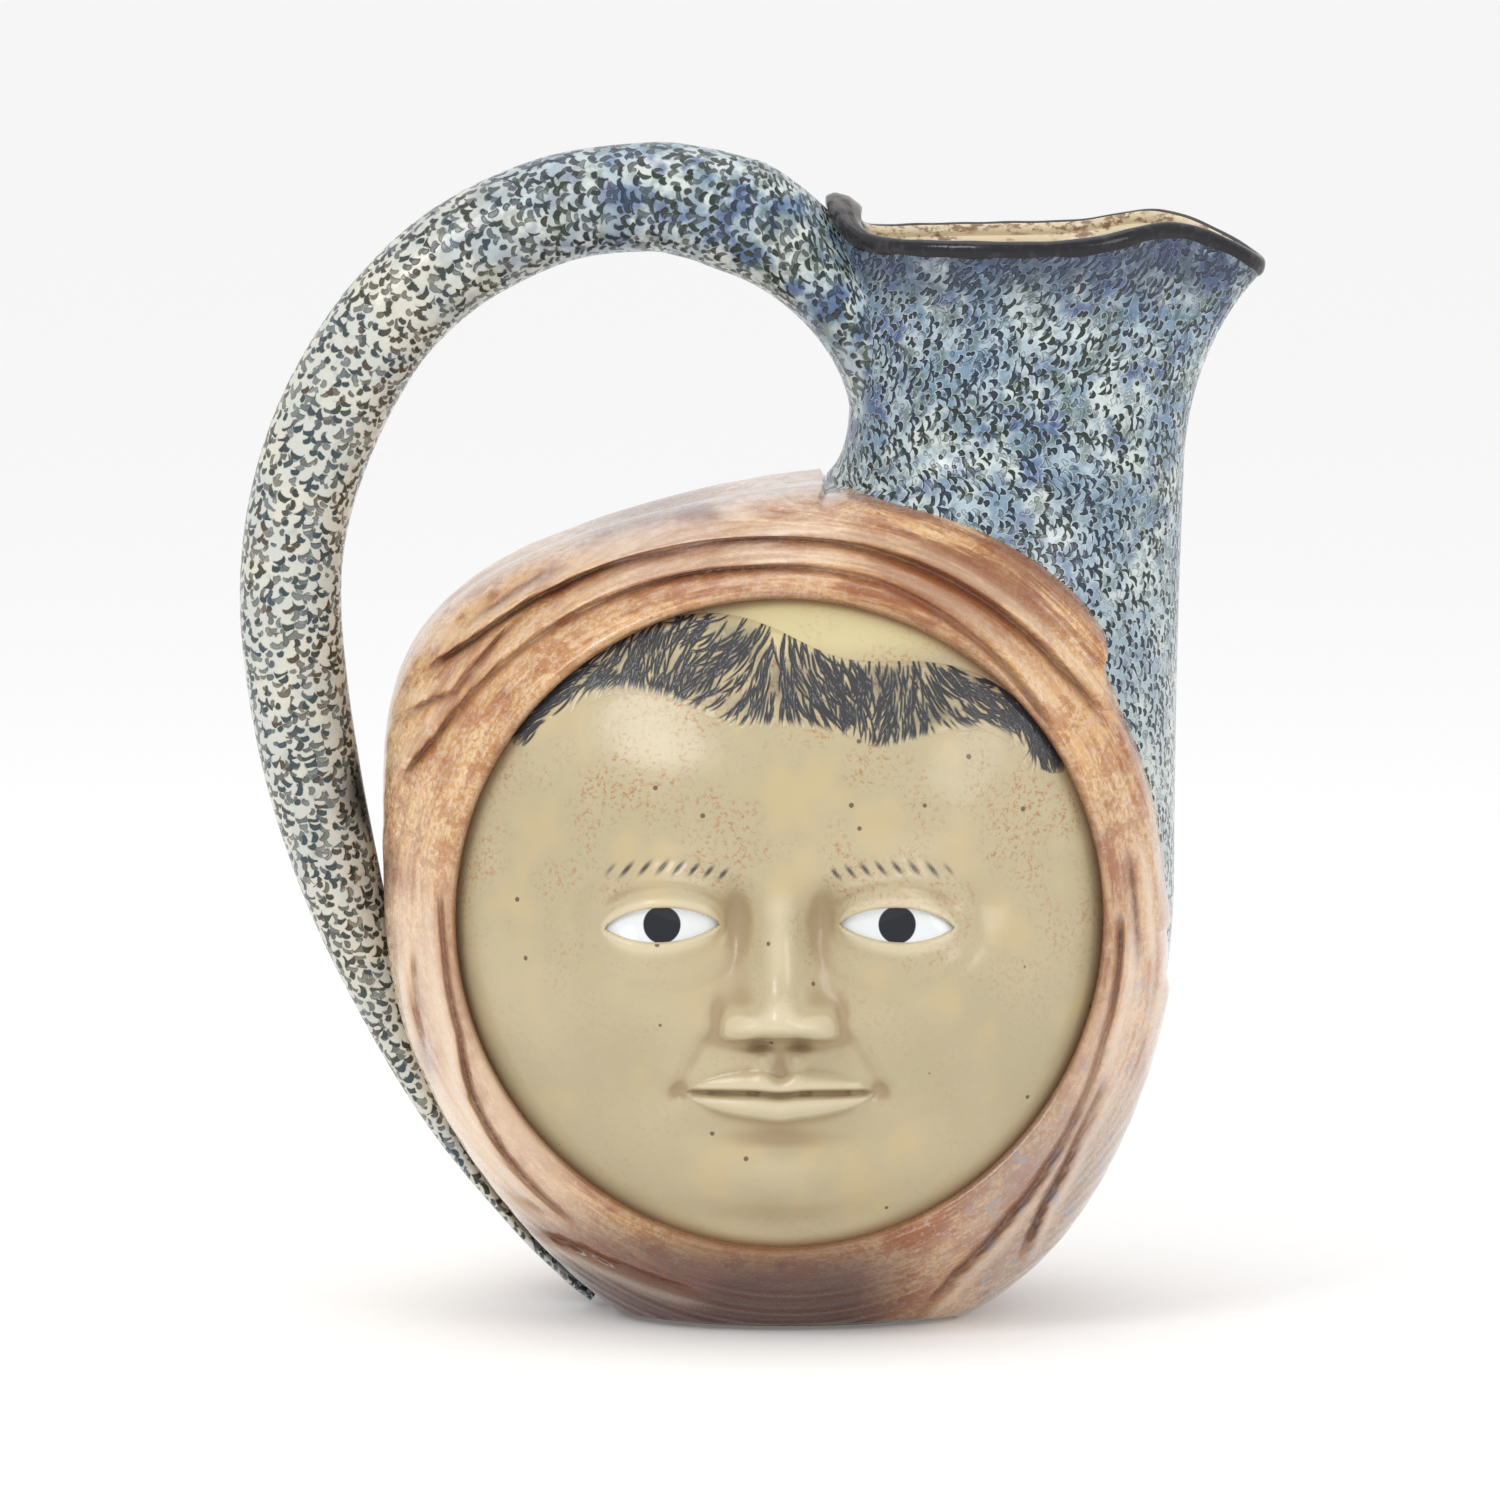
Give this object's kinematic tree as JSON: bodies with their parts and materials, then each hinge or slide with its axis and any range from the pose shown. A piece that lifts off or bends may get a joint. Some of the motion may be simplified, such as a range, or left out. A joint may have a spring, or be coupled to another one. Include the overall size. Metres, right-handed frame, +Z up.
{
  "type": "ceramic pitcher",
  "caption": "Salt-glazed stoneware jug with a pinched spout, a high loop handle and a hooded, calm face on each flat side.",
  "frame": {"origin": "centre of the foot's flat underside, on the surface that the jug stands on", "axes": "+Z up out of the mouth, +X towards the spout with the handle on -X, +Y towards the back face, so that the front face looks along -Y"},
  "size_m": [0.1901, 0.141, 0.2186],
  "materials": {
    "bare_clay": "matt, unglazed foot",
    "stippled_glaze": "glossy salt glaze over incised flecks",
    "brown_lip_glaze": "glossy",
    "hood_glaze": "glossy, streaked",
    "buff_glaze": "glossy",
    "hair_glaze": "glossy over incised strands",
    "white_glaze": "glossy"
  },
  "bodies": {
    "root": {"base_slab": "bare_clay", "belly_wall": "stippled_glaze", "neck_spout": "stippled_glaze", "lip_bead": "brown_lip_glaze", "handle": "stippled_glaze", "front_hood_mantle": "hood_glaze", "front_hood_hem": "hood_glaze", "front_face_mask": "buff_glaze", "front_nose": "buff_glaze", "front_hair_fringe": "hair_glaze", "front_upper_lip": "buff_glaze", "front_lower_lip": "buff_glaze", "front_left_eye": "white_glaze", "front_left_upper_lid": "buff_glaze", "front_left_lower_lid": "buff_glaze", "front_right_eye": "white_glaze", "front_right_upper_lid": "buff_glaze", "front_right_lower_lid": "buff_glaze", "back_hood_mantle": "hood_glaze", "back_hood_hem": "hood_glaze", "back_face_mask": "buff_glaze", "back_nose": "buff_glaze", "back_hair_fringe": "hair_glaze", "back_upper_lip": "buff_glaze", "back_lower_lip": "buff_glaze", "back_left_eye": "white_glaze", "back_left_upper_lid": "buff_glaze", "back_left_lower_lid": "buff_glaze", "back_right_eye": "white_glaze", "back_right_upper_lid": "buff_glaze", "back_right_lower_lid": "buff_glaze"}
  },
  "joints": []
}
